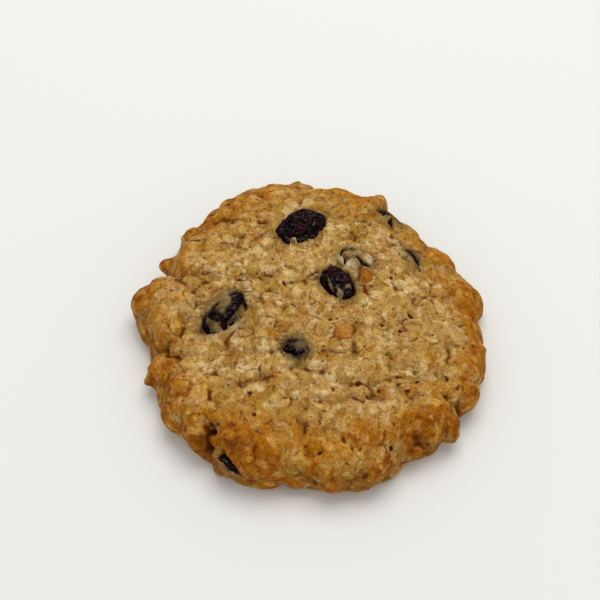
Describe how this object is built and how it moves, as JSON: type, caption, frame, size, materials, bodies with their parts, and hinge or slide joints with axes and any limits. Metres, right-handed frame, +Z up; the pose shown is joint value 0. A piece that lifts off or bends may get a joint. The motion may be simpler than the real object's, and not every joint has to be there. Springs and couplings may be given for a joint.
{
  "type": "oatmeal raisin cookie",
  "caption": "Free-form baked oatmeal cookie: a craggy domed disc of dough with a browned rim and a flat underside, set with wrinkled raisins.",
  "frame": {"origin": "middle of the underside's bounding box, on the surface the cookie lies on", "axes": "+Z up out of the domed top, +X to the right and +Y away from the viewer as the cookie is shown"},
  "size_m": [0.0869, 0.0888, 0.0192],
  "materials": {
    "baked_dough": "baked oat dough, matt and craggy, pale tan on top and golden brown at the rim",
    "raisin_skin": "dark wrinkled dried fruit skin with a soft gloss"
  },
  "bodies": {
    "root": {"dough": "baked_dough", "raisin_back": "raisin_skin", "raisin_middle": "raisin_skin", "raisin_veiled": "raisin_skin", "raisin_left": "raisin_skin", "raisin_sunk": "raisin_skin", "raisin_rim": "raisin_skin", "raisin_right": "raisin_skin", "raisin_front": "raisin_skin"}
  },
  "joints": []
}
